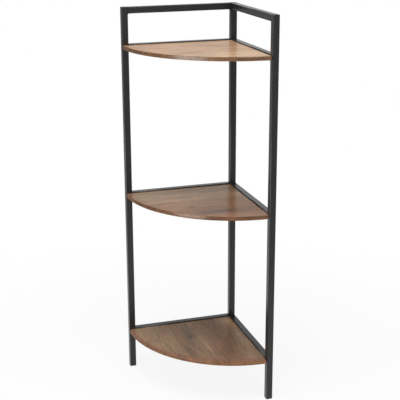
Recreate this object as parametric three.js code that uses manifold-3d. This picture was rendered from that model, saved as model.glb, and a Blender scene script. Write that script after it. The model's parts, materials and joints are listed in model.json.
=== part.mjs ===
// Three-tier corner shelf unit: a welded frame of square steel tube with three quarter-round wooden boards.
// Millimetres, +Z up. The room's corner is at +X +Y: one side frame stands along X and the other along Y,
// and the boards' round fronts face -X -Y. The origin is on the floor, under the middle of the footprint.

import * as THREE from "three";
import { mergeVertices } from "three/addons/utils/BufferGeometryUtils.js";
import Module from "manifold-3d";

// Side frames
const REACH_ALONG_X = 372; // outer face of the left post to the outer face of the corner post
const REACH_ALONG_Y = 372; // outer face of the right post to the outer face of the corner post
const TUBE_WIDTH = 20;
const TUBE_WALL = 1.2;
const TUBE_CORNER_RADIUS = 2;

// Heights
const LOWEST_RAIL_TOP = 139; // floor to the upper face of the lower shelf's rails
const SHELF_PITCH = 473; // one shelf to the next
const GUARD_HEIGHT = 112; // the upper shelf's rails to the guard rails above it, upper face to upper face

// Boards
const BOARD_THICKNESS = 12;
const BOARD_GAP = 1; // between a board's straight edges and the frame
const BOARD_SETBACK = 1; // from a board's tips to the posts' outer faces
const BOARD_TIP_RADIUS = 5;
const BOARD_EASE = 1.5; // rounding along the upper and lower edges

// Tabs, welded inside the rails to carry the boards
const TAB_WIDTH = 20;
const TAB_REACH = 24;
const TAB_THICKNESS = 2.5;
const TAB_SEAT_HEIGHT = 5; // the rails' lower faces to the tabs' upper faces
const TAB_PLACE_SHARES = [0.16, 0.84]; // along a rail

// Wood screws, driven up through the tabs
const SCREW_DIAMETER = 3.8;
const SCREW_HEAD_DIAMETER = 7.6;
const SCREW_HEAD_HEIGHT = 2.4;
const SCREW_POINT_LENGTH = 3;
const WOOD_OVER_SCREW = 2.5; // wood left above a screw's point
const TAB_HOLE_CLEARANCE = 0.4; // radial, round a screw in its tab
const PILOT_CLEARANCE = 0.3; // round a screw in its board

// Plastic plugs in the ends of the posts
const FOOT_FLANGE_THICKNESS = 3.5;
const CAP_FLANGE_THICKNESS = 1.5;
const FLANGE_CHAMFER = 0.5;
const PLUG_DEPTH = 16; // how far a plug's stem goes into its tube
const PLUG_CLEARANCE = 0.3; // between the fins and the tube's bore
const FIN_REACH = 1.2; // how far a fin stands out from the stem
const FIN_THICKNESS = 1;
const FIN_COUNT = 3;
const STEM_WALL = 1.6;
const PLUG_FLOOR_THICKNESS = 1.5; // closed end of the stem's pocket, beyond the flange

// Fineness of round forms
const TUBE_CORNER_DIVISIONS = 2;
const PLUG_CORNER_STEPS = 2;
const BOARD_ARC_STEPS = 40;
const BOARD_TIP_STEPS = 4;
const BOARD_EASE_STEPS = 3;
const SCREW_SIDES = 12;
const CUT_OVERRUN = 1;

const QUARTER_TURN = Math.PI / 2;

// Sizes that follow from the driving ones
const BORE_HALF_WIDTH = TUBE_WIDTH / 2 - TUBE_WALL;
const BORE_CORNER_RADIUS = TUBE_CORNER_RADIUS - TUBE_WALL;
const RAIL_LENGTH_X = REACH_ALONG_X - 2 * TUBE_WIDTH;
const RAIL_LENGTH_Y = REACH_ALONG_Y - 2 * TUBE_WIDTH;
const CORNER_AXIS = new THREE.Vector2(
  (REACH_ALONG_X - TUBE_WIDTH) / 2,
  (REACH_ALONG_Y - TUBE_WIDTH) / 2,
);
const SHELF_NAMES = ["lower", "middle", "upper"];
const railTop = (level) => LOWEST_RAIL_TOP + level * SHELF_PITCH;
const FRAME_TOP = railTop(SHELF_NAMES.length - 1) + GUARD_HEIGHT;
const POST_TOP = FRAME_TOP - CAP_FLANGE_THICKNESS; // so that the caps end level with the guard rails
const SCREW_BITE = BOARD_THICKNESS - WOOD_OVER_SCREW; // length of a screw inside its board
const TAB_HOLE_OFFSET = TAB_REACH - TAB_WIDTH / 2; // rail's inner face to the screw's axis

const POWDER_COAT = new THREE.MeshStandardMaterial({ color: 0x202122, roughness: 0.45, metalness: 0.2 });
const STAINED_WOOD = new THREE.MeshStandardMaterial({ color: 0x94664a, roughness: 0.5, metalness: 0 });
const BLACK_PLASTIC = new THREE.MeshStandardMaterial({ color: 0x18181a, roughness: 0.6, metalness: 0 });
const ZINC_PLATE = new THREE.MeshStandardMaterial({ color: 0x8d9093, roughness: 0.35, metalness: 1 });

const wasm = await Module();
wasm.setup();

function toSolid(geometry) {
  const bare = geometry.clone();
  bare.deleteAttribute("normal");
  bare.deleteAttribute("uv");
  const merged = mergeVertices(bare);
  return new wasm.Manifold(
    new wasm.Mesh({
      numProp: 3,
      vertProperties: new Float32Array(merged.attributes.position.array),
      triVerts: new Uint32Array(merged.index.array),
    }),
  );
}

function toGeometry(solid) {
  const mesh = solid.getMesh();
  const geometry = new THREE.BufferGeometry();
  geometry.setAttribute("position", new THREE.BufferAttribute(mesh.vertProperties, mesh.numProp));
  geometry.setIndex(new THREE.BufferAttribute(mesh.triVerts, 1));
  geometry.computeVertexNormals();
  return geometry;
}

function namedMesh(name, geometry, material) {
  const mesh = new THREE.Mesh(geometry, material);
  mesh.name = name;
  return mesh;
}

// A square path with rounded corners about the origin, drawn on a Shape or a Path
function drawRoundedSquare(path, halfWidth, radius) {
  const straight = halfWidth - radius;
  const corners = [[1, 1], [-1, 1], [-1, -1], [1, -1]];
  corners.forEach(([x, y], corner) => {
    const start = corner * QUARTER_TURN;
    path.absarc(x * straight, y * straight, radius, start, start + QUARTER_TURN, false);
  });
  path.closePath();
  return path;
}

// Square tube standing on z = 0
function tubeGeometry(length) {
  const section = drawRoundedSquare(new THREE.Shape(), TUBE_WIDTH / 2, TUBE_CORNER_RADIUS);
  section.holes.push(drawRoundedSquare(new THREE.Path(), BORE_HALF_WIDTH, BORE_CORNER_RADIUS));
  return new THREE.ExtrudeGeometry(section, {
    depth: length,
    bevelEnabled: false,
    curveSegments: TUBE_CORNER_DIVISIONS,
  });
}

// One ring of a plug: the points of a square with rounded corners at one height
function squareRing({ halfWidth, radius, z }) {
  const straight = halfWidth - radius;
  const ring = [];
  for (let corner = 0; corner < 4; corner++) {
    const middle = (corner + 1 / 2) * QUARTER_TURN;
    for (let step = 0; step <= PLUG_CORNER_STEPS; step++) {
      const angle = (corner + step / PLUG_CORNER_STEPS) * QUARTER_TURN;
      ring.push([
        Math.sign(Math.cos(middle)) * straight + radius * Math.cos(angle),
        Math.sign(Math.sin(middle)) * straight + radius * Math.sin(angle),
        z,
      ]);
    }
  }
  return ring;
}

// A closed skin over a stack of square rings, listed from the flange's outer face round to the pocket's floor
function skinOverRings(profile) {
  const rings = profile.map(squareRing);
  const count = rings[0].length;
  const positions = rings.flat(2);
  const first = positions.length / 3;
  positions.push(0, 0, profile[0].z, 0, 0, profile[profile.length - 1].z);
  const last = first + 1;
  const index = [];
  for (let i = 0; i < count; i++) {
    const next = (i + 1) % count;
    index.push(first, next, i);
    for (let ring = 0; ring < rings.length - 1; ring++) {
      const low = ring * count;
      const high = low + count;
      index.push(low + i, low + next, high + next, low + i, high + next, high + i);
    }
    const end = (rings.length - 1) * count;
    index.push(last, end + i, end + next);
  }
  const geometry = new THREE.BufferGeometry();
  geometry.setAttribute("position", new THREE.Float32BufferAttribute(positions, 3));
  geometry.setIndex(index);
  geometry.computeVertexNormals();
  return geometry;
}

// Plastic plug: a flange of the tube's own section, and a hollow stem whose fins grip the bore.
// The flange's outer face is at z = 0 and the stem points up.
function plugGeometry(flangeThickness) {
  const flange = { halfWidth: TUBE_WIDTH / 2, radius: TUBE_CORNER_RADIUS };
  const fin = { halfWidth: BORE_HALF_WIDTH - PLUG_CLEARANCE, radius: BORE_CORNER_RADIUS };
  const stem = { halfWidth: fin.halfWidth - FIN_REACH, radius: BORE_CORNER_RADIUS };
  const pocket = { halfWidth: stem.halfWidth - STEM_WALL, radius: BORE_CORNER_RADIUS };
  const stemEnd = flangeThickness + PLUG_DEPTH;
  const profile = [
    { halfWidth: flange.halfWidth - FLANGE_CHAMFER, radius: flange.radius, z: 0 },
    { ...flange, z: FLANGE_CHAMFER },
    { ...flange, z: flangeThickness },
    { ...stem, z: flangeThickness },
  ];
  for (let i = 0; i < FIN_COUNT; i++) {
    const low = flangeThickness + ((i + 1) / (FIN_COUNT + 1)) * PLUG_DEPTH - FIN_THICKNESS / 2;
    const high = low + FIN_THICKNESS;
    profile.push({ ...stem, z: low }, { ...fin, z: low }, { ...fin, z: high }, { ...stem, z: high });
  }
  profile.push(
    { ...stem, z: stemEnd },
    { ...pocket, z: stemEnd },
    { ...pocket, z: flangeThickness + PLUG_FLOOR_THICKNESS },
  );
  return skinOverRings(profile);
}

// Where the screws' axes lie along a rail, from its middle
function tabPlaces(railLength) {
  return TAB_PLACE_SHARES.map((share) => (share - 1 / 2) * railLength);
}

// Tab with a round end and a screw hole: it stands out towards -Y from the rail's face at y = 0
function tabGeometry() {
  const half = TAB_WIDTH / 2;
  const outline = new THREE.Shape();
  outline.moveTo(half, 0);
  outline.lineTo(-half, 0);
  outline.lineTo(-half, -TAB_HOLE_OFFSET);
  outline.absarc(0, -TAB_HOLE_OFFSET, half, Math.PI, 2 * Math.PI, false);
  outline.closePath();
  const hole = new THREE.Path();
  hole.absarc(0, -TAB_HOLE_OFFSET, SCREW_DIAMETER / 2 + TAB_HOLE_CLEARANCE, 0, 2 * Math.PI, true);
  outline.holes.push(hole);
  return new THREE.ExtrudeGeometry(outline, {
    depth: TAB_THICKNESS,
    bevelEnabled: false,
    curveSegments: SCREW_SIDES / 2,
  });
}

// Pan-head wood screw, pointing up, with its head's seat at z = 0
function screwGeometry() {
  const head = SCREW_HEAD_DIAMETER / 2;
  const shank = SCREW_DIAMETER / 2;
  const point = TAB_THICKNESS + SCREW_BITE;
  const domeShares = [[0, 1], [0.62, 1], [0.9, 0.72], [1, 0.3], [1, 0]]; // radius and height, of the head's
  const profile = domeShares.map(([r, h]) => new THREE.Vector2(r * head, -h * SCREW_HEAD_HEIGHT));
  profile.push(
    new THREE.Vector2(shank, 0),
    new THREE.Vector2(shank, point - SCREW_POINT_LENGTH),
    new THREE.Vector2(0, point),
  );
  return new THREE.LatheGeometry(profile, SCREW_SIDES).rotateX(QUARTER_TURN);
}

// Outline of a board from its inner corner, which lies at the origin: a quarter of an ellipse that is a
// circle when both side frames reach equally far, with its two tips rounded
function boardOutline() {
  const alongX = REACH_ALONG_X - TUBE_WIDTH - BOARD_GAP - BOARD_SETBACK;
  const alongY = REACH_ALONG_Y - TUBE_WIDTH - BOARD_GAP - BOARD_SETBACK;
  const tip = BOARD_TIP_RADIUS;
  const turnAtLeft = Math.asin(tip / alongY);
  const turnAtRight = Math.asin(tip / alongX);
  const leftReach = alongX * Math.cos(turnAtLeft);
  const rightReach = alongY * Math.cos(turnAtRight);
  const outline = new THREE.Path();
  outline.moveTo(-leftReach + tip, 0);
  outline.quadraticCurveTo(-leftReach, 0, -leftReach, -tip);
  const leftTip = outline.getPoints(BOARD_TIP_STEPS);
  const front = new THREE.EllipseCurve(
    0, 0, alongX, alongY, Math.PI + turnAtLeft, 3 * QUARTER_TURN - turnAtRight, false, 0,
  ).getPoints(BOARD_ARC_STEPS);
  const right = new THREE.Path();
  right.moveTo(-tip, -rightReach);
  right.quadraticCurveTo(0, -rightReach, 0, -rightReach + tip);
  const rightTip = right.getPoints(BOARD_TIP_STEPS);
  return new THREE.Shape([new THREE.Vector2(0, 0), ...leftTip, ...front.slice(1, -1), ...rightTip]);
}

// Board with eased edges and a blind pilot hole over each tab, its lower face at z = 0
function boardGeometry() {
  const blank = new THREE.ExtrudeGeometry(boardOutline(), {
    depth: BOARD_THICKNESS - 2 * BOARD_EASE,
    bevelThickness: BOARD_EASE,
    bevelSize: BOARD_EASE,
    bevelOffset: -BOARD_EASE,
    bevelSegments: BOARD_EASE_STEPS,
  }).translate(0, 0, BOARD_EASE);
  const holeRadius = SCREW_DIAMETER / 2 + PILOT_CLEARANCE;
  const holeDepth = SCREW_BITE + PILOT_CLEARANCE;
  const drill = toSolid(
    new THREE.CylinderGeometry(holeRadius, holeRadius, holeDepth + CUT_OVERRUN, SCREW_SIDES)
      .rotateX(QUARTER_TURN)
      .translate(0, 0, (holeDepth - CUT_OVERRUN) / 2),
  );
  const inset = TAB_HOLE_OFFSET - BOARD_GAP;
  const holes = [
    ...tabPlaces(RAIL_LENGTH_X).map((place) => [place - RAIL_LENGTH_X / 2 + BOARD_GAP, -inset]),
    ...tabPlaces(RAIL_LENGTH_Y).map((place) => [-inset, place - RAIL_LENGTH_Y / 2 + BOARD_GAP]),
  ];
  const board = holes.reduce(
    (solid, [x, y]) => solid.subtract(drill.translate([x, y, 0])),
    toSolid(blank),
  );
  return toGeometry(board);
}

// Post with its foot and its top cap
function post(side, x, y) {
  const group = new THREE.Group();
  group.position.set(x, y, 0);
  const tube = namedMesh(`${side}_post`, tubeGeometry(POST_TOP - FOOT_FLANGE_THICKNESS), POWDER_COAT);
  tube.position.z = FOOT_FLANGE_THICKNESS;
  const foot = namedMesh(`${side}_foot_plug`, plugGeometry(FOOT_FLANGE_THICKNESS), BLACK_PLASTIC);
  const cap = namedMesh(`${side}_top_plug`, plugGeometry(CAP_FLANGE_THICKNESS), BLACK_PLASTIC);
  cap.rotation.x = Math.PI;
  cap.position.z = FRAME_TOP;
  group.add(tube, foot, cap);
  return group;
}

// Rail along local X with its upper face at the given height, its middle at local x = 0
function rail(name, length, top) {
  const geometry = tubeGeometry(length).translate(0, 0, -length / 2).rotateY(QUARTER_TURN);
  const mesh = namedMesh(name, geometry, POWDER_COAT);
  mesh.position.z = top - TUBE_WIDTH / 2;
  return mesh;
}

// What one rail carries under its board: tabs on its inner face, which is towards local -Y, and their screws
function boardFixings(prefix, length, top) {
  const seat = top - TUBE_WIDTH + TAB_SEAT_HEIGHT;
  return tabPlaces(length).flatMap((place, i) => {
    const tab = namedMesh(`${prefix}_tab_${i + 1}`, tabGeometry(), POWDER_COAT);
    tab.position.set(place, -TUBE_WIDTH / 2, seat - TAB_THICKNESS);
    const screw = namedMesh(`${prefix}_screw_${i + 1}`, screwGeometry(), ZINC_PLATE);
    screw.position.set(place, -TUBE_WIDTH / 2 - TAB_HOLE_OFFSET, seat - TAB_THICKNESS);
    return [tab, screw];
  });
}

// All the rails of one side frame, with local X along them and the room towards local -Y
function sideRails(side, length) {
  const group = new THREE.Group();
  SHELF_NAMES.forEach((shelf, level) => {
    const prefix = `${shelf}_${side}`;
    group.add(rail(`${prefix}_rail`, length, railTop(level)));
    group.add(...boardFixings(prefix, length, railTop(level)));
  });
  group.add(rail(`guard_${side}_rail`, length, FRAME_TOP));
  return group;
}

function board(shelf, level) {
  const mesh = namedMesh(`${shelf}_shelf_board`, boardGeometry(), STAINED_WOOD);
  mesh.position.set(
    REACH_ALONG_X / 2 - TUBE_WIDTH - BOARD_GAP,
    REACH_ALONG_Y / 2 - TUBE_WIDTH - BOARD_GAP,
    railTop(level) - TUBE_WIDTH + TAB_SEAT_HEIGHT,
  );
  return mesh;
}

const unit = new THREE.Group();
unit.add(
  post("left", -CORNER_AXIS.x, CORNER_AXIS.y),
  post("corner", CORNER_AXIS.x, CORNER_AXIS.y),
  post("right", CORNER_AXIS.x, -CORNER_AXIS.y),
);

const leftRails = sideRails("left", RAIL_LENGTH_X);
leftRails.position.y = CORNER_AXIS.y;
const rightRails = sideRails("right", RAIL_LENGTH_Y);
rightRails.position.x = CORNER_AXIS.x;
rightRails.rotation.z = -QUARTER_TURN;
unit.add(leftRails, rightRails);

SHELF_NAMES.forEach((shelf, level) => unit.add(board(shelf, level)));

export default unit;
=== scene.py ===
"""Three-tier corner shelf unit: square steel tube, welded and powder-coated black, with three quarter-round
boards of lacquered wood. Metres, +Z up. The room's corner is at +X +Y."""

import json
import math
from dataclasses import dataclass

import bmesh
import bpy
from bpy.props import FloatProperty, FloatVectorProperty, IntProperty, PointerProperty
from mathutils import Matrix, Vector
from mathutils.geometry import tessellate_polygon

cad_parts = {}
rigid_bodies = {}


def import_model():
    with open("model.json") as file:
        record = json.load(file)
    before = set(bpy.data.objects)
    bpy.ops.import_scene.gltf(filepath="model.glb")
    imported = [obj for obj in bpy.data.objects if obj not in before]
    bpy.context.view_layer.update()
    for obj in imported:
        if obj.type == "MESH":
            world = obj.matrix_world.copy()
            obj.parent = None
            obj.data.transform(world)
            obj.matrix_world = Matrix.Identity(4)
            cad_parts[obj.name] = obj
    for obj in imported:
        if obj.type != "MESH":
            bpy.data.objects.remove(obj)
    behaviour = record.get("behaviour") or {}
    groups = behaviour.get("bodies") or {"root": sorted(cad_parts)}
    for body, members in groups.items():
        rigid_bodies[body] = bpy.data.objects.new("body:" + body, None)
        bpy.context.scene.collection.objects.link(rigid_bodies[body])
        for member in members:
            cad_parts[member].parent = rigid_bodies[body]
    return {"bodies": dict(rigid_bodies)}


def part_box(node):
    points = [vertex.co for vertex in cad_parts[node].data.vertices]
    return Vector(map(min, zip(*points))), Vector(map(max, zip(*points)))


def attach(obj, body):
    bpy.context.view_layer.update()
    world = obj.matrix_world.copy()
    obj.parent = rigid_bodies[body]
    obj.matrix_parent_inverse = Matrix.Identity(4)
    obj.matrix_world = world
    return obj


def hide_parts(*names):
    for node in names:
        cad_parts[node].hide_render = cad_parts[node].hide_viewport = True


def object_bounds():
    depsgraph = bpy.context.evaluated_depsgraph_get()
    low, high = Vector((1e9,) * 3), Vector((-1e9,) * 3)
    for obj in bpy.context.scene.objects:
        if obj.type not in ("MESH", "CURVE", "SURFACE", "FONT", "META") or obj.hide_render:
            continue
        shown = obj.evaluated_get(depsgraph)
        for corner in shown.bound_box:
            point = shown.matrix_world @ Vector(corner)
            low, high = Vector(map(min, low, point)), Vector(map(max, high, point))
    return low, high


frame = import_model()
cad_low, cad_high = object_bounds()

bl_info = {
    "name": "Corner Shelf Unit",
    "version": (1, 0, 0),
    "blender": (4, 5, 0),
    "location": "View3D > Sidebar > Corner Shelf",
    "description": "Makes a welded corner shelf unit with quarter-round wooden boards",
    "category": "Add Mesh",
}

MILLIMETRE = 0.001
FULL_TURN = 2 * math.pi
QUARTER_TURN = FULL_TURN / 4
ALONG_X, ALONG_Y = 0, 1
(BODY,) = frame["bodies"]
SIDES = ("left", "right")
CORNERS = ("left", "corner", "right")
LEVELS = ("lower", "middle", "upper")
POSTS = [f"{corner}_post" for corner in CORNERS]
RAILS = [f"{level}_{side}_rail" for level in (*LEVELS, "guard") for side in SIDES]
TABS = [f"{level}_{side}_tab_{i}" for level in LEVELS for side in SIDES for i in (1, 2)]
SCREWS = [name.replace("_tab_", "_screw_") for name in TABS]


def size_of(node):
    """How far a CAD node reaches along X, Y and Z."""
    low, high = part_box(node)
    return high - low


def middle_of(node):
    low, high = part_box(node)
    return (low + high) / 2


# Sizes and colours that a user would change

def setting(make, scale=1, **kind):
    """A kind of property, made from a name, a description and a default."""
    return lambda name, description, default: make(
        name=name, description=description, default=default * scale, **kind
    )


length = setting(FloatProperty, MILLIMETRE, min=0, unit="LENGTH", precision=5)  # default in millimetres
angle = setting(FloatProperty, math.radians(1), subtype="ANGLE")  # default in degrees
share = setting(FloatProperty, min=0, max=1, subtype="FACTOR")
colour = setting(FloatVectorProperty, min=0, max=1, subtype="COLOR")
place = setting(FloatVectorProperty, subtype="TRANSLATION")
focal = setting(FloatProperty, min=1, unit="CAMERA")  # default in millimetres
number = setting(FloatProperty)
count = setting(IntProperty, min=1)
GLOSS = "From mirror gloss to fully matt"


class TubeSettings(bpy.types.PropertyGroup):
    wall: length("Wall", "Thickness of the tube's wall", 1.2)
    corner_radius: length("Corner radius", "Outer radius along the tube's four edges", 2.0)
    corner_points: count("Corner points", "Points round each edge", 7)
    coat: colour("Coat", "Colour of the powder coat", (0.0155, 0.0157, 0.0166))
    coat_roughness: share("Coat roughness", GLOSS, 0.28)
    coat_shine: share("Coat shine", "How strongly the coat reflects", 0.38)
    peel: length("Peel", "Distance between the coat's fine ripples", 1.4)
    peel_height: length("Peel height", "Height of the coat's fine ripples", 0.02)
    peel_strength: share("Peel strength", "How strongly the coat's fine ripples show", 0.5)


class WeldSettings(bpy.types.PropertyGroup):
    radius: length("Bead radius", "Radius of a weld bead", 1.7)
    sink: length("Sink", "From the two faces to the middle of the bead", 0.5)
    ripple: length("Ripple", "One ripple of a bead to the next", 1.3)
    ripple_share: share("Ripple depth", "How much thinner a bead is between its ripples", 0.2)
    end_gap: length("End gap", "Bare seam beyond each end of a bead", 1.6)


class BoardSettings(bpy.types.PropertyGroup):
    tip_radius: length("Tip radius", "Rounding of the two tips, seen from above", 5.0)
    inner_radius: length("Inner radius", "Rounding of the inner corner, seen from above", 2.0)
    ease: length("Ease", "Rounding along the upper and lower edges", 1.0)
    front_steps: count("Front steps", "Straight steps along the round front", 120)
    yellow_hue: colour("Yellow hue", "Yellowish streaks at full brightness", (1.0, 0.66, 0.39))
    red_hue: colour("Red hue", "Reddish streaks at full brightness", (1.0, 0.50, 0.26))
    stain: colour("Stain", "Colour of the dull stains and the knots", (0.080, 0.055, 0.045))
    rim: colour("Rim", "Colour of the stain along the boards' round fronts", (0.245, 0.110, 0.055))
    edge: colour("Edge", "Colour of the boards' cut edges", (0.130, 0.060, 0.027))
    figure: share("Figure", "Strength of the streaks and fibres", 0.7)
    lacquer: share("Lacquer", "How much clear lacquer covers the boards' faces", 0.5)
    lacquer_roughness: share("Lacquer roughness", GLOSS, 0.24)


class PlugSettings(bpy.types.PropertyGroup):
    foot_flange: length("Foot flange", "Thickness of a foot plug's flange", 3.5)
    cap_flange: length("Cap flange", "Thickness of a top plug's flange", 1.5)
    edge: length("Edge", "Rounding of a flange's outer edge", 0.6)
    clearance: length("Clearance", "Between the fins and the tube's bore", 0.3)
    fin_reach: length("Fin reach", "How far a fin stands out from the stem", 1.2)
    fin_root: length("Fin root", "Thickness of a fin where it leaves the stem", 1.3)
    fin_tip: length("Fin tip", "Thickness of a fin at its edge", 0.6)
    fins: count("Fins", "Fins round a plug's stem", 3)
    stem_wall: length("Stem wall", "Thickness of the hollow stem's wall", 1.6)
    pocket_floor: length("Pocket floor", "Closed end of the stem's pocket, beyond the flange", 1.5)
    plastic: colour("Plastic", "Colour of the moulded plastic", (0.020, 0.020, 0.021))
    plastic_roughness: share("Plastic roughness", GLOSS, 0.5)


class FixingSettings(bpy.types.PropertyGroup):
    tab_hole: length("Tab hole", "Diameter of the hole in a tab", 4.6)
    tab_ease: length("Tab ease", "Rounding of a tab's sheared edges", 0.35)
    pilot_hole: length("Pilot hole", "Diameter of the hole for a screw in a board", 4.4)
    pilot_spare: length("Pilot spare", "How much deeper a pilot hole is than its screw", 0.3)
    shank: length("Shank", "Diameter of a screw between its threads", 2.7)
    thread: length("Thread", "Diameter over a screw's thread", 3.8)
    pitch: length("Pitch", "One turn of the thread to the next", 1.4)
    point: length("Point", "Length of a screw's tapered point", 3.0)
    head_height: length("Head height", "Height of a screw's head", 2.4)
    recess: length("Recess", "Depth of the cross in a screw's head", 1.3)
    wing_width: length("Wing width", "Width of the cross's four wings", 1.0)
    zinc: colour("Zinc", "Colour of the zinc plate", (0.60, 0.62, 0.64))
    zinc_roughness: share("Zinc roughness", GLOSS, 0.3)


class StageSettings(bpy.types.PropertyGroup):
    camera: place("Camera", "Where the camera stands", (-0.8756, -2.7610, 1.5149))
    turn: angle("Turn", "From +Y round to the camera's sight line", 16.407)
    dip: angle("Dip", "How far the camera looks down", 16.964)
    tilt: angle("Tilt", "Turn of the camera about its sight line", -0.573)
    lens: focal("Lens", "Focal length", 88.3)
    shift: number("Sideways shift", "Share of the picture's width", 0.0552)
    rise: number("Upward shift", "Share of the picture's width", -0.0098)
    floor: colour("Floor", "Colour of the floor", (0.86, 0.86, 0.86))
    floor_radius: length("Floor radius", "How far the floor reaches", 3500)
    floor_glow: share("Floor glow", "How much of the floor near the unit is plain white", 0.88)
    ambient: share("Ambient", "Strength of the light from all round", 0.4)


class ShelfSettings(bpy.types.PropertyGroup):
    tube: PointerProperty(type=TubeSettings)
    weld: PointerProperty(type=WeldSettings)
    board: PointerProperty(type=BoardSettings)
    plug: PointerProperty(type=PlugSettings)
    fixing: PointerProperty(type=FixingSettings)
    stage: PointerProperty(type=StageSettings)


# Node trees

def arithmetic(operation):
    """An operator's method, and the one for a plain number on the operator's left."""
    return (
        lambda self, other: self.math(operation, self, other),
        lambda self, other: self.math(operation, other, self),
    )


class Value:
    """An output of a node. Arithmetic on it adds Math nodes to its tree."""

    __add__, __radd__ = arithmetic("ADD")
    __sub__, __rsub__ = arithmetic("SUBTRACT")
    __mul__, __rmul__ = arithmetic("MULTIPLY")
    __truediv__, __rtruediv__ = arithmetic("DIVIDE")

    def __init__(self, graph, socket):
        self.graph = graph
        self.socket = socket

    def __abs__(self):
        return self.math("ABSOLUTE", self)

    def math(self, operation, *values, clamp=False):
        settings = {"operation": operation, "use_clamp": clamp}
        return self.graph.add("ShaderNodeMath", settings, numbered=dict(enumerate(values)))

    def other(self, name):
        """Another output of the same node."""
        return Value(self.graph, self.socket.node.outputs[name])

    def larger(self, other):
        """The larger of the two."""
        return self.math("MAXIMUM", self, other)

    def ramp(self, low, high):
        """0 at low, 1 at high, and smooth between them."""
        settings = {"interpolation_type": "SMOOTHSTEP"}
        return self.graph.add("ShaderNodeMapRange", settings, value=self, from_min=low, from_max=high)

    def bell(self, steepness=1.0):
        """1 where this squared distance is 0, fading out as it grows."""
        return self.math("EXPONENT", -steepness * self)


def titled(key):
    """A keyword as the name of a socket."""
    return key.replace("_", " ").title().replace("Ior", "IOR")


class Graph:
    """Adds nodes to a geometry tree, or to the shader tree of a material or a world."""

    def __init__(self, tree, owner=None):
        self.tree = tree
        self.owner = owner

    def add(self, kind, settings=None, output=0, numbered=None, **named):
        """Adds a node, sets it up, fills its sockets by number or name, and returns one output, if any."""
        node = self.tree.nodes.new(kind)
        for name, value in (settings or {}).items():
            if name == "stops":
                self.set_stops(node.color_ramp, value)
            else:
                setattr(node, name, value)
        for key, value in (numbered or {}).items():
            self.fill(node.inputs[key], value)
        for key, value in named.items():
            for one in value if isinstance(value, list) else [value]:
                self.fill(node.inputs[titled(key)], one)
        return Value(self, node.outputs[output]) if node.outputs else None

    def fill(self, socket, value):
        """Links a node's output to a socket, or sets the socket to a plain value."""
        if isinstance(value, Value):
            self.tree.links.new(value.socket, socket)
        else:
            socket.default_value = (*value, 1.0) if socket.type == "RGBA" else value

    @staticmethod
    def set_stops(ramp, stops):
        while len(ramp.elements) < len(stops):
            ramp.elements.new(1.0)
        for element, (position, tone) in zip(ramp.elements, stops):
            element.position = position
            element.color = (*tone, 1.0)

    def given(self, key):
        """An input of the whole tree."""
        return self.add("NodeGroupInput", output=titled(key))

    def where(self):
        """The shaded point in the unit's own frame."""
        return self.add("ShaderNodeTexCoord", output="Object")

    def vector(self, x=0.0, y=0.0, z=0.0):
        return self.add("ShaderNodeCombineXYZ", x=x, y=y, z=z)

    def split(self, vector):
        """A vector's X, Y and Z."""
        x = self.add("ShaderNodeSeparateXYZ", output="X", vector=vector)
        return x, x.other("Y"), x.other("Z")

    def size(self, vector):
        """A vector's length."""
        return self.add("ShaderNodeVectorMath", {"operation": "LENGTH"}, output="Value", vector=vector)

    def blend(self, factor, first, second):
        """One colour fading into another as the factor goes from 0 to 1."""
        numbered = {0: factor, 6: first, 7: second}
        return self.add("ShaderNodeMix", {"data_type": "RGBA"}, output=2, numbered=numbered)

    def tinted(self, tone, factor):
        """A colour made lighter or darker by a number."""
        return self.add("ShaderNodeVectorMath", {"operation": "SCALE"}, vector=tone, scale=factor)

    def noise(self, scale, vector=None, **character):
        """A cloudy number about 0.5."""
        return self.add("ShaderNodeTexNoise", vector=vector or self.where(), scale=scale, **character)

    def ray(self, kind):
        """1 for a ray of this kind and 0 for the others."""
        return self.add("ShaderNodeLightPath", output=f"Is {kind} Ray")

    def bump(self, **relief):
        """A surface raised by a height times a distance."""
        return self.add("ShaderNodeBump", output="Normal", **relief)


def empty_graph(owner):
    """The shader tree of a material or a world, with no nodes in it yet."""
    owner.use_nodes = True
    owner.node_tree.nodes.clear()
    return Graph(owner.node_tree, owner)


def new_material(name):
    return empty_graph(bpy.data.materials.new(name))


def finish_material(graph, **sockets):
    """Ends a material in one glossy surface with these sockets."""
    graph.add("ShaderNodeOutputMaterial", surface=graph.add("ShaderNodeBsdfPrincipled", **sockets))
    return graph.owner


def geometry_graph(name, **kinds):
    """A geometry tree with these inputs and one for the material, and one mesh as its output."""
    tree = bpy.data.node_groups.new(name, "GeometryNodeTree")
    for key, kind in {**kinds, "material": "Material"}.items():
        tree.interface.new_socket(titled(key), in_out="INPUT", socket_type=f"NodeSocket{kind}")
    tree.interface.new_socket("Mesh", in_out="OUTPUT", socket_type="NodeSocketGeometry")
    return Graph(tree)


def finish_tree(graph, shape):
    """Ends a geometry tree: real meshes with the given material."""
    real = graph.add("GeometryNodeRealizeInstances", geometry=shape)
    dressed = graph.add("GeometryNodeSetMaterial", geometry=real, material=graph.given("material"))
    graph.add("NodeGroupOutput", mesh=dressed)
    return graph.tree


# Meshes and pieces

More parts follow.
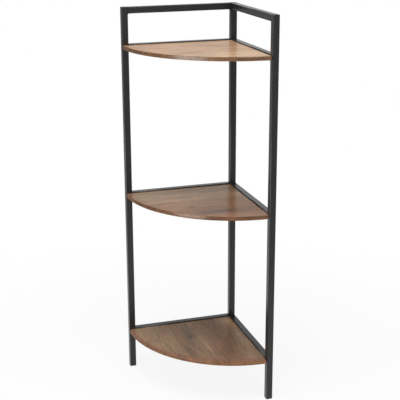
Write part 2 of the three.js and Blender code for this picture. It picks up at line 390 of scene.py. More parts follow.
class Shell:
    """Collects the points and faces of one closed piece."""

    def __init__(self):
        self.points = []
        self.round_faces = []
        self.flat_faces = []

    def ring(self, points):
        first = len(self.points)
        self.points.extend(Vector(point) for point in points)
        return list(range(first, len(self.points)))

    def walls(self, *rings, flat_from=math.inf):
        """Faces from each ring to the next, which has as many points, and flat ones from a ring on."""
        for step, (one, two) in enumerate(zip(rings, rings[1:])):
            faces = self.round_faces if step < flat_from else self.flat_faces
            for i, start in enumerate(one):
                j = (i + 1) % len(one)
                faces.append((start, one[j], two[j], two[i]))

    def cap(self, outline, holes=()):
        """A flat face inside a ring, round these holes."""
        loops = [outline, *holes]
        order = [index for loop in loops for index in loop]
        for triangle in tessellate_polygon([[self.points[index] for index in loop] for loop in loops]):
            self.flat_faces.append(tuple(order[i] for i in triangle))

    def mesh(self, name):
        """The finished mesh, with its faces turned outwards and its flat faces kept flat."""
        mesh = bpy.data.meshes.new(name)
        mesh.from_pydata(self.points, [], self.round_faces + self.flat_faces)
        smooth = [True] * len(self.round_faces) + [False] * len(self.flat_faces)
        mesh.polygons.foreach_set("use_smooth", smooth)
        work = bmesh.new()
        work.from_mesh(mesh)
        bmesh.ops.recalc_face_normals(work, faces=work.faces)
        work.to_mesh(mesh)
        work.free()
        return mesh


def add_object(name, data, *materials):
    thing = bpy.data.objects.new(name, data)
    bpy.context.scene.collection.objects.link(thing)
    for material in materials:
        data.materials.append(material)
    return thing


def seat(piece, slot, *nodes):
    """Makes a finished piece part of the unit, in place of these CAD nodes."""
    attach(piece, BODY)
    if nodes:
        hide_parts(*nodes)


def grow(name, base, tree, **inputs):
    """Runs a geometry tree on a mesh and keeps the result as a plain mesh."""
    piece = add_object(name, base)
    modifier = piece.modifiers.new(name, "NODES")
    modifier.node_group = tree
    sockets = {item.name: item.identifier for item in tree.interface.items_tree}
    for key, value in inputs.items():
        modifier[sockets[titled(key)]] = value
    evaluated = bpy.context.evaluated_depsgraph_get()
    made = bpy.data.meshes.new_from_object(piece.evaluated_get(evaluated))
    piece.modifiers.remove(modifier)
    piece.data = made
    made.name = name
    return piece


def arc(middle, radius, start, end, steps):
    """Points with their outward directions, from one angle to another."""
    turns = [start + (end - start) * i / steps for i in range(steps + 1)]
    ways = [Vector((math.cos(turn), math.sin(turn))) for turn in turns]
    return [(Vector(middle) + radius * way, way) for way in ways]


def circle(middle, radius, steps):
    """A hole's rim: its directions point out of the material, to the hole's middle."""
    return [(point, -way) for point, way in arc(middle, radius, 0, FULL_TURN, steps)[:-1]]


def rim(places, inset, z):
    """A ring of points at one height, drawn in from an outline."""
    return [(*(point - way * inset), z) for point, way in places]


def rounded_square(half, radius, steps):
    """Outline of a square with rounded corners about the origin."""
    straight = half - radius
    outline = []
    for i, (x, y) in enumerate(((1, 1), (-1, 1), (-1, -1), (1, -1))):
        corner = (x * straight, y * straight)
        outline += arc(corner, radius, i * QUARTER_TURN, (i + 1) * QUARTER_TURN, steps)
    return outline


def rounding(ease, steps):
    """Insets and heights round an edge, from a flat face to an upright one."""
    turns = [QUARTER_TURN * i / steps for i in range(steps + 1)]
    return [(ease * (1 - math.sin(turn)), ease * (1 - math.cos(turn))) for turn in turns]


def eased_profile(low, high, ease, steps):
    """Insets and heights up the side of a plate whose two edges are rounded."""
    below = rounding(ease, steps)
    return [(inset, low + z) for inset, z in below] + [(inset, high - z) for inset, z in reversed(below)]


def plate_sides(shell, places, profile):
    """Rings up the side of a plate, with walls between them."""
    rings = [shell.ring(rim(places, inset, z)) for inset, z in profile]
    shell.walls(*rings)
    return rings


# Powder-coated steel

def powder_coat(tube):
    """Satin black powder coat with a fine orange peel."""
    graph = new_material("satin black powder coat")
    cloud_scale = 18.0
    shade_spread, gloss_spread = 0.15, 0.05
    peel = graph.noise(1 / tube.peel, detail=3.0, roughness=0.6)
    cloud = graph.noise(cloud_scale, detail=3.0)
    unevenness = peel + cloud - 1
    return finish_material(
        graph,
        base_color=graph.tinted(tube.coat, 1 + shade_spread * unevenness),
        roughness=tube.coat_roughness + gloss_spread * unevenness,
        specular_ior_level=tube.coat_shine,
        normal=graph.bump(height=peel, strength=tube.peel_strength, distance=tube.peel_height),
    )


def square_tube_tree():
    """A length of square tube with rounded edges and an open bore, drawn upwards and then turned."""
    graph = geometry_graph(
        "square tube", length="Float", width="Float", wall="Float", corner_radius="Float",
        corner_points="Int", turn="Rotation", start="Vector",
    )

    def section(width, radius):
        square = graph.add("GeometryNodeCurvePrimitiveQuadrilateral", width=width, height=width)
        corner = {"count": graph.given("corner_points"), "radius": radius}
        return graph.add("GeometryNodeFilletCurve", {"mode": "POLY"}, curve=square, **corner)

    wall = graph.given("wall")
    outside = section(graph.given("width"), graph.given("corner_radius"))
    bore = section(graph.given("width") - 2 * wall, graph.given("corner_radius") - wall)
    both = graph.add("GeometryNodeJoinGeometry", geometry=[outside, bore])
    end = graph.add("GeometryNodeFillCurve", {"mode": "NGONS"}, curve=both)
    drawn = graph.add(
        "GeometryNodeExtrudeMesh", {"mode": "FACES"},
        mesh=end, offset=graph.vector(z=graph.given("length")), offset_scale=1.0, individual=False,
    )
    start = graph.add("GeometryNodeFlipFaces", mesh=end)
    open_tube = graph.add("GeometryNodeJoinGeometry", geometry=[start, drawn])
    same_place, nearly_square = 0.01 * MILLIMETRE, 0.9999
    tube = graph.add("GeometryNodeMergeByDistance", geometry=open_tube, distance=same_place)
    x, y, z = (abs(part) for part in graph.split(graph.add("GeometryNodeInputNormal")))
    squareness = x.larger(y).larger(z)
    rounded = graph.add("FunctionNodeCompare", {"operation": "LESS_THAN"}, a=squareness, b=nearly_square)
    shaded = graph.add("GeometryNodeSetShadeSmooth", geometry=tube, shade_smooth=rounded)
    move = {"translation": graph.given("start"), "rotation": graph.given("turn")}
    return finish_tree(graph, graph.add("GeometryNodeTransform", geometry=shaded, **move))


def make_tube(node, tree, tube, coat):
    """Remakes one post or rail along the longest side of its CAD node."""
    size = size_of(node)
    longest = max(range(3), key=lambda axis: size[axis])
    start = middle_of(node)
    start[longest] -= size[longest] / 2
    turns = [(0, QUARTER_TURN, 0), (-QUARTER_TURN, 0, 0), (0, 0, 0)]
    piece = grow(
        f"{node}_tube", bpy.data.meshes.new(node), tree,
        length=size[longest], width=min(size), wall=tube.wall, corner_radius=tube.corner_radius,
        corner_points=tube.corner_points, turn=turns[longest], start=start, material=coat,
    )
    seat(piece, "frame_steel", node)


def weld_bead_tree():
    """A rippled bead along every edge of the mesh that it is given."""
    graph = geometry_graph(
        "weld bead", seams="Geometry", radius="Float", ripple="Float", ripple_depth="Float"
    )
    sides, steps_in_ripple = 12, 5
    end_share, wander_share, wander_scale = 0.55, 0.3, 400.0
    radius, ripple = graph.given("radius"), graph.given("ripple")
    seams = graph.add("GeometryNodeMeshToCurve", mesh=graph.given("seams"))
    step = ripple / steps_in_ripple
    line = graph.add("GeometryNodeResampleCurve", {"mode": "LENGTH"}, curve=seams, length=step)
    gone = graph.add("GeometryNodeSplineParameter", output="Length")
    left = graph.add("GeometryNodeSplineLength", output="Length") - gone
    ends = gone.math("MINIMUM", gone, left)
    taper = end_share + (1 - end_share) * ends.math("DIVIDE", ends, radius, clamp=True)
    wave = abs(gone.math("SINE", math.pi * gone / ripple))
    wander = graph.noise(wander_scale, graph.add("GeometryNodeInputPosition"))
    ripples = 1 - graph.given("ripple_depth") * (1 - wave) + wander_share * (wander - 0.5)
    section = graph.add("GeometryNodeCurvePrimitiveCircle", resolution=sides, radius=1.0)
    thickness = radius * taper * ripples
    return finish_tree(graph, graph.add(
        "GeometryNodeCurveToMesh", curve=line, profile_curve=section, scale=thickness, fill_caps=True
    ))


def seam_points(weld):
    """Both ends of every bead: across under both ends of each rail, and under the root of each tab."""
    points = []
    for node in (*RAILS, *TABS):
        low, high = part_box(node)
        left, rail = "_left_" in node, node in RAILS
        axis = ALONG_Y if left == rail else ALONG_X
        near_side, far_side = low[1 - axis] + weld.sink, high[1 - axis] - weld.sink
        for side in (near_side, far_side) if rail else (far_side,):
            for end in (low[axis] + weld.end_gap, high[axis] - weld.end_gap):
                point = Vector((side, side, low.z - weld.sink))
                point[axis] = end
                points.append(point)
    return points


# Boards

@dataclass
class BoardLook:
    """How one board was cut and finished, and the painted light on it, with places and sizes in millimetres.
    """

    grain: int  # axis that the grain runs along
    seed: float  # moves the figure, so that the boards differ
    rim: float  # strength of the stain along the round front
    bands: list  # place across the grain, lightness and redness
    stains: list  # place across and along the grain, half width and length, and strength, below 0 if pale, for a pale streak and for painted light over shade
    knots: tuple = ()  # place across and along the grain, and half width
    figure: float = 1.0  # share of the boards' figure
    dullness: float = 0.0  # added to the lacquer's roughness
    # brightness of the cut edge; above 1 it is painted light, for the light that the floor throws up onto it
    painted_edge_light: float = 1.0


BOARD_LOOKS = {
    "upper": BoardLook(
        grain=ALONG_X, seed=3.1, rim=0.2,
        bands=[
            (-185, 0.40, 0.1), (-140, 0.42, 0.0), (-105, 0.41, 0.0), (-85, 0.41, 0.0), (-55, 0.38, 0.5),
            (-30, 0.37, 0.5), (5, 0.39, 0.3), (28, 0.38, 0.35), (55, 0.34, 0.45), (90, 0.34, 0.5),
            (165, 0.36, 0.4),
        ],
        stains=[(-42, -35, 22, 60, 0.32)],
    ),
    "middle": BoardLook(
        grain=ALONG_X, seed=11.7, rim=0.4,
        bands=[
            (-185, 0.28, 0.7), (-150, 0.25, 0.8), (-122, 0.23, 0.95), (-90, 0.22, 0.95), (-65, 0.24, 0.8),
            (-40, 0.27, 0.65), (10, 0.30, 0.6), (29, 0.31, 0.5), (35, 0.39, 0.15), (85, 0.355, 0.15),
            (120, 0.29, 0.2), (165, 0.29, 0.3),
        ],
        stains=[
            (-105, 14, 16, 58, 0.8), (-100, 66, 9, 24, 0.7), (-72, -10, 8, 40, 0.25), (60, -150, 34, 55, 0.3),
        ],
        knots=((-43, -30, 4.5),),
    ),
    "lower": BoardLook(
        grain=ALONG_Y, seed=23.9, rim=0.8,
        bands=[
            (-185, 0.35, 0.1), (-158, 0.31, 0.2), (-118, 0.32, 0.3), (-92, 0.28, 0.35), (-62, 0.28, 0.3),
            (-55, 0.22, 0.45), (-20, 0.225, 0.45), (8, 0.26, 0.45), (22, 0.285, 0.5), (45, 0.245, 0.6),
            (64, 0.215, 0.8), (98, 0.20, 0.85), (124, 0.255, 0.35), (146, 0.285, 0.2), (165, 0.27, 0.35),
        ],
        stains=[
            (-8, 62, 26, 60, 0.3), (-46, -58, 10, 45, 0.6), (40, -110, 45, 45, 0.15),
            (-130, 130, 30, 45, 0.2), (21, -32, 3, 40, -0.5), (148, 60, 12, 90, -0.2),
            # these two pale marks at the inner corner are painted light, lifting out the shade there
            (122, 125, 34, 42, -0.2), (142, 142, 12, 18, -0.3),
        ],
        knots=((-10, 50, 5.5),),
        # the lower board's cut edge is made lighter: painted light for the floor's light on it
        figure=1.1, dullness=0.10, painted_edge_light=1.8,
    ),
}

WOOD_NOISES = {  # scales along and across the grain, start along it, detail, roughness and distortion
    "waver": (7, 12, 0, 3.0, 0.5, 0.0),
    "cloud": (9, 34, 0, 4.0, 0.6, 0.0),
    "streak": (13, 170, 0, 4.0, 0.65, 0.3),
    "fleck": (55, 300, 0, 3.0, 0.7, 0.0),
    "fibre": (34, 640, 0, 3.0, 0.6, 0.0),
    "pore": (120, 1700, 0, 1.0, 0.5, 0.0),
    "hue": (6, 55, 40, 5.0, 0.65, 0.0),
}
FACE_FIGURE = {"cloud": 1.4, "streak": 1.3, "fleck": 1.1, "fibre": 1.1}  # weight of each noise
EDGE_FIGURE = {"cloud": 1.6, "fibre": 0.8}  # weights added to those where the wood is cut


def from_mark(across, along, mark_across, mark_along, half_width, half_length):
    """Squared distance from a mark, which is 1 on its outline."""
    aside = (across - mark_across * MILLIMETRE) / (half_width * MILLIMETRE)
    ahead = (along - mark_along * MILLIMETRE) / (half_length * MILLIMETRE)
    return aside * aside + ahead * ahead


def bend_round_knots(knots, across, along):
    """The way across the grain, bent round each knot, and how dark the knots are."""
    stretch = 2.0  # length of a knot in widths
    bend, bend_fade = 0.8, 0.3
    core_fade, halo, halo_fade = 1.6, 0.35, 0.25
    core = 0.0
    for knot_across, knot_along, size in knots:
        squared = from_mark(across, along, knot_across, knot_along, size, stretch * size)
        core = core + squared.bell(core_fade) + halo * squared.bell(halo_fade)
        across = across - bend * (across - knot_across * MILLIMETRE) * squared.bell(bend_fade)
    return across, core


def grain_noises(graph, across, along, z):
    """The wood's noises, all drawn out along the grain."""
    noises = {}
    for kind, (scale_along, scale_across, start, detail, roughness, distortion) in WOOD_NOISES.items():
        where = graph.vector(along * scale_along + start, across * scale_across, z * scale_across)
        noises[kind] = graph.noise(1.0, where, detail=detail, roughness=roughness, distortion=distortion)
    return noises


def uneven(noises, weights):
    """Weighted noises that are 0 on average."""
    return sum(weight * (noises[kind] - 0.5) for kind, weight in weights.items())


def banded(graph, bands, across, start, width):
    """Lightness and redness of the bands that run along the grain."""
    stops = [((spot * MILLIMETRE - start) / width, (light, red, 0)) for spot, light, red in bands]
    band = graph.add("ShaderNodeValToRGB", {"stops": stops}, fac=(across - start) / width)
    light = graph.add("ShaderNodeSeparateColor", output="Red", color=band)
    return light, light.other("Green")


def marked(graph, tone, stain, stains, core, cloud, across, along):
    """A face with its knots, its dull stains, its pale streaks and its patches of painted light."""
    knot_share, mark_share = 0.95, 0.9
    mark = knot_share * core
    for *outline, strength in stains:
        spread = from_mark(across, along, *outline).bell() * (0.5 + cloud)
        if strength > 0:
            mark = mark + strength * spread
        else:
            # a pale mark, which is either a pale streak in the wood or painted light over shade
            tone = graph.tinted(tone, 1 - strength * spread)
    return graph.blend(mark_share * mark, tone, stain)


def soaked(from_corner, reach, end_grain, cloud):
    """How much stain has soaked in from the round front, deepest at the end of the grain."""
    least, more, waver = 10 * MILLIMETRE, 16 * MILLIMETRE, 12 * MILLIMETRE
    first_trace, full_stain = -1.1, -0.6
    depth = (from_corner - reach + waver * (cloud - 0.5)) / (least + more * end_grain * end_grain)
    return depth.ramp(first_trace, full_stain)


def cut_edges_and_edge_shade(graph):
    """Where the wood is cut, and the painted shade along its rounded edges."""
    upright = 1 - abs(graph.split(graph.add("ShaderNodeNewGeometry", output="Normal"))[2])
    side, line, edge_shade_ends = (0.02, 0.3), (0.01, 0.1), (0.3, 0.9)
    # the second mask is painted shade on the rounding between the flat faces and the cut side
    return upright.ramp(*side), upright.ramp(*line) * (1 - upright.ramp(*edge_shade_ends))


def lacquered_wood(name, look, board, low, high):
    """Rustic wood under clear lacquer, with its grain along one axis."""
    graph = new_material(name)
    x, y, z = graph.split(graph.where())
    along, across = (x, y) if look.grain == ALONG_X else (y, x)
    reach = high.x - low.x
    across, core = bend_round_knots(look.knots, across, along)
    noises = grain_noises(graph, across, along + look.seed, z)
    cloud, fibre = noises["cloud"], noises["fibre"]
    first_pores, all_pores, pore_weight = 0.6, 0.72, 0.22
    pore = noises["pore"].ramp(first_pores, all_pores)
    figure = uneven(noises, FACE_FIGURE) - pore_weight * pore
    shade = 1 + look.figure * board.figure * figure

    # Faces
    waver_reach, hue_spread = 22 * MILLIMETRE, 1.2
    across = across + waver_reach * (noises["waver"] - 0.5)
    light, red = banded(graph, look.bands, across, low[1 - look.grain], reach)
    redness = red + hue_spread * (noises["hue"] - 0.5)
    tone = graph.blend(redness, board.yellow_hue, board.red_hue)
    tone = graph.tinted(tone, light * shade)
    tone = marked(graph, tone, board.stain, look.stains, core, cloud, across, along)
    from_corner = graph.size(graph.vector(x - high.x, y - high.y))
    end_grain = (high[look.grain] - along) / reach
    rim_stain = look.rim * soaked(from_corner, reach, end_grain, cloud)
    tone = graph.blend(rim_stain, tone, graph.tinted(board.rim, shade))

    # Cut edges, with painted shade along their rounded edges
    flat_scale, layer_scale, layer_weight = 8.0, 420.0, 1.2
    side_share, edge_shade_share = 0.85, 0.35
    side, line = cut_edges_and_edge_shade(graph)
    layers = graph.noise(1.0, graph.vector(x * flat_scale, y * flat_scale, z * layer_scale))
    figure = figure + uneven(noises, EDGE_FIGURE) + layer_weight * (layers - 0.5)
    # the cut edge's colour, made lighter on the lower board by painted light
    edge = graph.tinted(board.edge, look.painted_edge_light * (1 + board.figure * figure))
    tone = graph.blend(side_share * side, tone, edge)
    bare_roughness, roughness_spread, pore_depth = 0.5, 0.25, 0.5
    relief = {"strength": 0.35, "distance": 0.2 * MILLIMETRE}
    return finish_material(
        graph,
        # darkened by painted shade along the rounded edges
        base_color=graph.tinted(tone, 1 - edge_shade_share * line),
        roughness=bare_roughness + roughness_spread * (fibre - 0.5),
        specular_ior_level=0.0,
        coat_weight=board.lacquer,
        coat_roughness=board.lacquer_roughness + look.dullness,
        normal=graph.bump(height=fibre - pore_depth * pore, **relief),
    )


def board_outline(inner, reach, board):
    """Quarter-round outline from its inner corner, with its two tips rounded."""
    corner, tip = board.inner_radius, board.tip_radius
    radius = math.hypot(reach, tip)
    turn = math.asin(tip / (radius - tip))
    along = (radius - tip) * math.cos(turn)
    start, end = math.pi + turn, 3 * QUARTER_TURN - turn
    corner_steps, tip_steps = 6, 12
    outline = arc((-corner, -corner), corner, 0, QUARTER_TURN, corner_steps)
    outline += arc((-along, -tip), tip, QUARTER_TURN, start, tip_steps)
    outline += arc((0, 0), radius, start, end, board.front_steps)[1:-1]
    outline += arc((-tip, -along), tip, end, FULL_TURN, tip_steps)
    return [(point + inner, way) for point, way in outline]


def make_board(level, settings):
    """One board, with a blind pilot hole over each tab."""
    board, fixing = settings.board, settings.fixing
    node = f"{level}_shelf_board"
    low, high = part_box(node)
    ease_steps, hole_steps = 6, 20
    shell = Shell()
    outline = board_outline(high.xy, high.x - low.x, board)
    rings = plate_sides(shell, outline, eased_profile(low.z, high.z, board.ease, ease_steps))
    mouths = []
    for screw in SCREWS:
        if screw.startswith(level):
            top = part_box(screw)[1].z + fixing.pilot_spare
            hole = circle(middle_of(screw).xy, fixing.pilot_hole / 2, hole_steps)
            mouth, end = plate_sides(shell, hole, [(0, low.z), (0, top)])
            mouths.append(mouth)
            shell.cap(end)
    shell.cap(rings[0], mouths)
    shell.cap(rings[-1])
    wood = lacquered_wood(f"{level} board's wood", BOARD_LOOKS[level], board, low, high)
    seat(add_object(f"{level}_board", shell.mesh(node), wood), "shelf_wood", node)


# Plastic end plugs

def moulded_plastic(plug):
    """Black plastic with the fine grain of its mould."""
    graph = new_material("moulded black plastic")
    grain_scale, cloud_scale = 2600.0, 160.0
    shade_spread, grain_gloss, cloud_gloss = 0.4, 0.2, 0.12
    relief = {"strength": 0.4, "distance": 0.03 * MILLIMETRE}
    grain = graph.noise(grain_scale)
    cloud = graph.noise(cloud_scale)
    return finish_material(
        graph,
        base_color=graph.tinted(plug.plastic, 1 + shade_spread * (cloud - 0.5)),
        roughness=plug.plastic_roughness + grain_gloss * (grain - 0.5) + cloud_gloss * (cloud - 0.5),
        normal=graph.bump(height=grain, **relief),
    )


def plug_profile(half, depth, flange, plug, tube):
    """Steps in the flange's rounding, and half width, corner radius and height of each ring."""
    fin = half - tube.wall - plug.clearance
    stem = fin - plug.fin_reach
    pocket = stem - plug.stem_wall
    inner_radius = tube.corner_radius - tube.wall
    edge_steps = 4
    edge = rounding(plug.edge, edge_steps)
    outside = [(half - inset, tube.corner_radius, z) for inset, z in edge]
    outside.append((half, tube.corner_radius, flange))
    inside = [(stem, flange)]
    for i in range(plug.fins):
        middle = flange + (i + 1) / (plug.fins + 1) * (depth - flange)
        root, tip = plug.fin_root / 2, plug.fin_tip / 2
        inside += [(stem, middle - root), (fin, middle - tip), (fin, middle + tip), (stem, middle + root)]
    inside += [(stem, depth), (pocket, depth), (pocket, flange + plug.pocket_floor)]
    return edge_steps, outside + [(size, inner_radius, z) for size, z in inside]


def make_plug(node, flange, settings, plastic):
    """One end plug: a flange of the tube's own section, and a hollow stem with fins close to the bore."""
    low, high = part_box(node)
    middle = middle_of(node).xy
    face, way = (low.z, 1) if node.endswith("foot_plug") else (high.z, -1)
    size = high - low
    round_rings, profile = plug_profile(size.x / 2, size.z, flange, settings.plug, settings.tube)
    corner_steps = 6
    shell = Shell()
    rings = []
    for half, radius, z in profile:
        outline = rounded_square(half, radius, corner_steps)
        rings.append(shell.ring((*(point + middle), face + way * z) for point, _ in outline))
    shell.walls(*rings, flat_from=round_rings)
    shell.cap(rings[0])
    shell.cap(rings[-1])
    seat(add_object(f"{node}_moulding", shell.mesh(node), plastic), "plug_plastic", node)


# Tabs and screws

def scatter_tree():
    """A copy of one finished object at every point of the mesh, turned as the point says."""
    graph = geometry_graph("at each tab", places="Geometry", pattern="Object")
    pattern = graph.add("GeometryNodeObjectInfo", output="Geometry", object=graph.given("pattern"))
    turn = graph.add("GeometryNodeInputNamedAttribute", {"data_type": "FLOAT"}, name="turn")
    places = {"points": graph.given("places"), "rotation": graph.vector(z=turn)}
    return finish_tree(graph, graph.add("GeometryNodeInstanceOnPoints", instance=pattern, **places))


def scatter(name, pattern, material, slot, nodes):
    """Copies a pattern to the place of each tab or screw, and takes the pattern itself away."""
    points, turns = [], []
    for node in nodes:
        tab = node.replace("_screw_", "_tab_")
        axis = ALONG_X if "_right_" in tab else ALONG_Y
        point = middle_of(tab)
        point[axis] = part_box(tab)[1][axis]
        point.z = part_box(node)[0].z
        points.append(point)
        turns.append(-QUARTER_TURN if axis == ALONG_X else 0.0)
    places = bpy.data.meshes.new("places")
    places.from_pydata(points, [], [])
    places.attributes.new("turn", "FLOAT", "POINT").data.foreach_set("value", turns)
    base = add_object(f"{name}_pattern", pattern)
    piece = grow(name, places, scatter_tree(), pattern=base, material=material)
    bpy.data.objects.remove(base)
    seat(piece, slot, *nodes)


def tab_mesh(fixing):
    """Flat steel tab with a round end and a screw hole, standing out towards -Y and up from z = 0."""
    width, reach, thickness = size_of(TABS[0])
    half = width / 2
    middle = (0, half - reach)
    round_steps, ease_steps = 24, 3
    outline = [(Vector((side * half, 0)), Vector((side, 0))) for side in (1, -1)]
    outline += arc(middle, half, math.pi, FULL_TURN, round_steps)
    hole = circle(middle, fixing.tab_hole / 2, round_steps)
    shell = Shell()
    profile = eased_profile(0, thickness, fixing.tab_ease, ease_steps)
    outer = plate_sides(shell, outline, profile)
    inner = plate_sides(shell, hole, profile)
    shell.cap(outer[0], [inner[0]])
    shell.cap(outer[-1], [inner[-1]])
    return shell.mesh("tab")


def cross_outline(reach, half_width):
    """The cross in a screw's head: four wings round the middle."""
    wing = ((reach, -half_width), (reach, half_width), (half_width, half_width))
    turns = [Matrix.Rotation(i * QUARTER_TURN, 2) for i in range(4)]
    return [turn @ Vector(point) for turn in turns for point in wing]


def screw_mesh(fixing):
    """Pan-head wood screw up from z = 0, its axis as far out towards -Y as a tab's hole."""
    screw, tab = size_of(SCREWS[0]), size_of(TABS[0])
    axis = Vector((0, tab.x / 2 - tab.y))
    head, seat_height = screw.x / 2, fixing.head_height
    thread_start, top = seat_height + tab.z, screw.z
    sides, rows_in_turn = 28, 10
    ridge_steepness, bluntness = 5, 0.04
    ways = [way for _, way in arc(axis, head, 0, FULL_TURN, sides)[:-1]]
    shell = Shell()

    def ring(z, radii):
        return shell.ring((*(axis + radius * way), z) for radius, way in zip(radii, ways))

    def threaded(z, share_of_turn):
        """Radius of the shank, with a sharp ridge that climbs one pitch in a turn."""
        narrowing = min(1.0, max(bluntness, (top - z) / fixing.point))
        phase = ((z - seat_height) / fixing.pitch - share_of_turn) % 1
        ridge = max(0.0, 1 - ridge_steepness * abs(phase - 0.5))
        return narrowing * (fixing.shank + (fixing.thread - fixing.shank) * ridge) / 2

    dome_shares = ((0.62, 0), (0.8, 0.07), (0.93, 0.28), (1.0, 0.58), (1.0, 0.88), (0.97, 1.0))
    rings = [ring(height * seat_height, [width * head] * sides) for width, height in dome_shares]
    rings += [ring(z, [fixing.thread / 2] * sides) for z in (seat_height, thread_start)]
    rows = math.ceil((top - thread_start) / fixing.pitch * rows_in_turn)
    for row in range(rows + 1):
        z = thread_start + (top - thread_start) * row / rows
        rings.append(ring(z, [threaded(z, i / sides) for i in range(sides)]))
    shell.walls(*rings)
    shell.cap(rings[-1])
    wing_share, floor_share = 0.55, 0.55
    wing_reach, half_wing = wing_share * head, fixing.wing_width / 2
    mouth, floor = (
        shell.ring((*(axis + point), depth) for point in cross_outline(part * wing_reach, part * half_wing))
        for part, depth in ((1, 0), (floor_share, fixing.recess))
    )
    shell.walls(mouth, floor, flat_from=0)
    shell.cap(floor)
    shell.cap(rings[0], [mouth])
    return shell.mesh("screw")


def zinc_plate(fixing):
    """Bright zinc plate with faint blue and yellow clouds."""
    graph = new_material("bright zinc plate")
    cloud_scale, fleck_scale = 420.0, 3200.0
    film_share, gloss_spread = 0.5, 0.25
    blue, yellow = (0.54, 0.58, 0.64), (0.62, 0.60, 0.52)
    film = graph.blend(graph.noise(cloud_scale), blue, yellow)
    return finish_material(
        graph,
        base_color=graph.blend(film_share, fixing.zinc, film),
        metallic=1.0,
        roughness=fixing.zinc_roughness + gloss_spread * (graph.noise(fleck_scale) - 0.5),
    )


# Stage

LAMPS = {  # place, width and height in metres, power in watts, and whether it lights matt and glossy surfaces
    "overhead": ((-0.3, -0.4, 2.9), (1.5, 1.5), 46.0, True, False),
    "left": ((-2.0, -1.2, 1.3), (1.0, 1.0), 14.0, True, False),
    "strip": ((-1.38, -0.81, 0.7), (0.95, 1.4), 42.0, False, True),
    "front": ((0.4, -2.8, 0.8), (1.5, 1.2), 22.0, True, False),
}
WHITE = (1.0, 1.0, 1.0)
LAMPS_AIM = Vector((0.0, 0.0, 0.6))
BACKDROP = (  # height of a direction, from -1 down to 1 up, and its brightness in reflections
    (-1.0, 0.9), (-0.4, 0.85), (-0.14, 0.4), (0.02, 0.4), (0.12, 0.9), (0.2, 1.0), (0.32, 1.0), (0.5, 0.7),
    (1.0, 0.7),
)


def pale_floor(stage):
    """Pale floor that keeps the unit's shadow near it and fades to white further out."""
    graph = new_material("pale floor")
    shadow_ends, white_from = 0.55, 1.5
    dimming, dim_from, dimmest_from = 0.5, 0.6, 2.6
    distance = graph.size(graph.where())
    mirrored = graph.ray("Glossy")
    seen = graph.ray("Camera").larger(mirrored).larger(graph.ray("Transmission"))
    white = seen * (stage.floor_glow + (1 - stage.floor_glow) * distance.ramp(shadow_ends, white_from))
    strength = 1 - dimming * mirrored * distance.ramp(dim_from, dimmest_from)
    matt = graph.add("ShaderNodeBsdfDiffuse", color=stage.floor)
    glow = graph.add("ShaderNodeEmission", color=WHITE, strength=strength)
    surface = graph.add("ShaderNodeMixShader", numbered={0: white, 1: matt, 2: glow})
    graph.add("ShaderNodeOutputMaterial", surface=surface)
    return graph.owner


def white_world(stage):
    """White wherever it is seen, with a dim horizon in reflections alone, and soft light on everything."""
    graph = empty_graph(bpy.data.worlds.new("white backdrop"))
    height = graph.split(graph.add("ShaderNodeTexCoord", output="Generated"))[2]
    stops = [((1 + level) / 2, (tone, tone, tone)) for level, tone in BACKDROP]
    tones = graph.add("ShaderNodeValToRGB", {"stops": stops}, fac=(1 + height) / 2)
    mirrored = graph.ray("Glossy") * graph.add("ShaderNodeSeparateColor", output="Red", color=tones)
    seen = graph.ray("Camera").larger(graph.ray("Transmission")).larger(mirrored)
    backdrop = graph.add("ShaderNodeBackground", color=WHITE, strength=seen.larger(stage.ambient))
    graph.add("ShaderNodeOutputWorld", surface=backdrop)
    return graph.owner


def add_floor(stage):
    sides = 96
    disc = bpy.data.meshes.new("floor")
    work = bmesh.new()
    bmesh.ops.create_circle(work, cap_ends=True, segments=sides, radius=stage.floor_radius)
    work.to_mesh(disc)
    work.free()
    floor = add_object("floor", disc, pale_floor(stage))
    floor.location.z = cad_low.z


def add_lamp(name, spot, size, power, matt, glossy):
    lamp = bpy.data.lights.new(name, "AREA")
    lamp.shape = "RECTANGLE"
    lamp.size, lamp.size_y = size
    lamp.energy = power
    thing = add_object(f"{name}_lamp", lamp)
    thing.location = spot
    thing.rotation_euler = (LAMPS_AIM - Vector(spot)).to_track_quat("-Z", "Y").to_euler()
    thing.visible_diffuse = matt
    thing.visible_glossy = glossy


def add_camera(stage):
    camera = bpy.data.cameras.new("camera")
    camera.lens = stage.lens
    camera.shift_x = stage.shift
    camera.shift_y = stage.rise
    thing = add_object("camera", camera)
    heading = Matrix.Rotation(-stage.turn, 4, "Z")
    dip = Matrix.Rotation(QUARTER_TURN - stage.dip, 4, "X")
    tilt = Matrix.Rotation(stage.tilt, 4, "Z")
    thing.matrix_world = Matrix.Translation(stage.camera) @ heading @ dip @ tilt
    bpy.context.scene.camera = thing


# Operators

DONE = {"FINISHED"}


class CORNER_SHELF_OT_stage(bpy.types.Operator):
    """Sets up the floor, the backdrop, the lamps and the camera"""

    bl_idname = "corner_shelf.stage"
    bl_label = "Stage"

    def execute(self, context):
        stage = context.scene.corner_shelf.stage
        context.scene.view_settings.view_transform = "Standard"
        context.scene.world = white_world(stage)
        add_floor(stage)
        for name, lamp in LAMPS.items():
            add_lamp(name, *lamp)
        add_camera(stage)
        return DONE


class CORNER_SHELF_OT_tubes(bpy.types.Operator):
    """Makes the three posts, the six shelf rails and the two guard rails"""

    bl_idname = "corner_shelf.tubes"
    bl_label = "Posts and rails"

    def execute(self, context):
        tube = context.scene.corner_shelf.tube
        tree, coat = square_tube_tree(), powder_coat(tube)
        for node in (*POSTS, *RAILS):
            make_tube(node, tree, tube, coat)
        return DONE


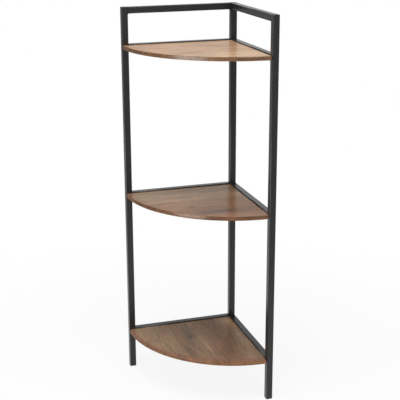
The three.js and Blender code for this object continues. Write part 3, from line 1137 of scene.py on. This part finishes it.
class CORNER_SHELF_OT_weld_beads(bpy.types.Operator):
    """Lays the weld beads under the rails' ends and under the tabs"""

    bl_idname = "corner_shelf.weld_beads"
    bl_label = "Weld beads"

    def execute(self, context):
        settings = context.scene.corner_shelf
        weld = settings.weld
        points = seam_points(weld)
        seams = bpy.data.meshes.new("seams")
        seams.from_pydata(points, [(i, i + 1) for i in range(0, len(points), 2)], [])
        piece = grow(
            "weld_beads", seams, weld_bead_tree(), radius=weld.radius, ripple=weld.ripple,
            ripple_depth=weld.ripple_share, material=powder_coat(settings.tube),
        )
        seat(piece, "frame_steel")
        return DONE


class CORNER_SHELF_OT_tabs(bpy.types.Operator):
    """Makes the tabs that carry the boards"""

    bl_idname = "corner_shelf.tabs"
    bl_label = "Tabs"

    def execute(self, context):
        settings = context.scene.corner_shelf
        scatter("board_tabs", tab_mesh(settings.fixing), powder_coat(settings.tube), "frame_steel", TABS)
        return DONE


class CORNER_SHELF_OT_screws(bpy.types.Operator):
    """Makes the screws that hold the boards on their tabs"""

    bl_idname = "corner_shelf.screws"
    bl_label = "Screws"

    def execute(self, context):
        fixing = context.scene.corner_shelf.fixing
        scatter("board_screws", screw_mesh(fixing), zinc_plate(fixing), "screw_steel", SCREWS)
        return DONE


class CORNER_SHELF_OT_boards(bpy.types.Operator):
    """Makes the three quarter-round boards"""

    bl_idname = "corner_shelf.boards"
    bl_label = "Boards"

    def execute(self, context):
        for level in LEVELS:
            make_board(level, context.scene.corner_shelf)
        return DONE


class CORNER_SHELF_OT_plugs(bpy.types.Operator):
    """Makes the plastic plugs at both ends of each post"""

    bl_idname = "corner_shelf.plugs"
    bl_label = "End plugs"

    def execute(self, context):
        settings = context.scene.corner_shelf
        plug = settings.plug
        plastic = moulded_plastic(plug)
        for corner in CORNERS:
            make_plug(f"{corner}_foot_plug", plug.foot_flange, settings, plastic)
            make_plug(f"{corner}_top_plug", plug.cap_flange, settings, plastic)
        return DONE


STEPS = (
    CORNER_SHELF_OT_stage,
    CORNER_SHELF_OT_tubes,
    CORNER_SHELF_OT_weld_beads,
    CORNER_SHELF_OT_tabs,
    CORNER_SHELF_OT_screws,
    CORNER_SHELF_OT_boards,
    CORNER_SHELF_OT_plugs,
)


class CORNER_SHELF_PT_panel(bpy.types.Panel):
    """Lists the steps and the sizes and colours that they use"""

    bl_idname = "CORNER_SHELF_PT_panel"
    bl_label = "Corner Shelf Unit"
    bl_space_type = "VIEW_3D"
    bl_region_type = "UI"
    bl_category = "Corner Shelf"

    def draw(self, context):
        for step in STEPS:
            self.layout.operator(step.bl_idname)
        settings = context.scene.corner_shelf
        for name in ShelfSettings.__annotations__:
            box = self.layout.box()
            box.label(text=name.capitalize())
            group = getattr(settings, name)
            for key in type(group).__annotations__:
                box.prop(group, key)


SETTINGS = (TubeSettings, WeldSettings, BoardSettings, PlugSettings, FixingSettings, StageSettings)
CLASSES = (*SETTINGS, ShelfSettings, *STEPS, CORNER_SHELF_PT_panel)


def register():
    for kind in CLASSES:
        bpy.utils.register_class(kind)
    bpy.types.Scene.corner_shelf = PointerProperty(type=ShelfSettings)


def unregister():
    del bpy.types.Scene.corner_shelf
    for kind in reversed(CLASSES):
        bpy.utils.unregister_class(kind)


def main():
    """Makes the whole unit, one step after another."""
    register()
    for step in STEPS:
        group, name = step.bl_idname.split(".")
        getattr(getattr(bpy.ops, group), name)()


if __name__ == "__main__":
    main()
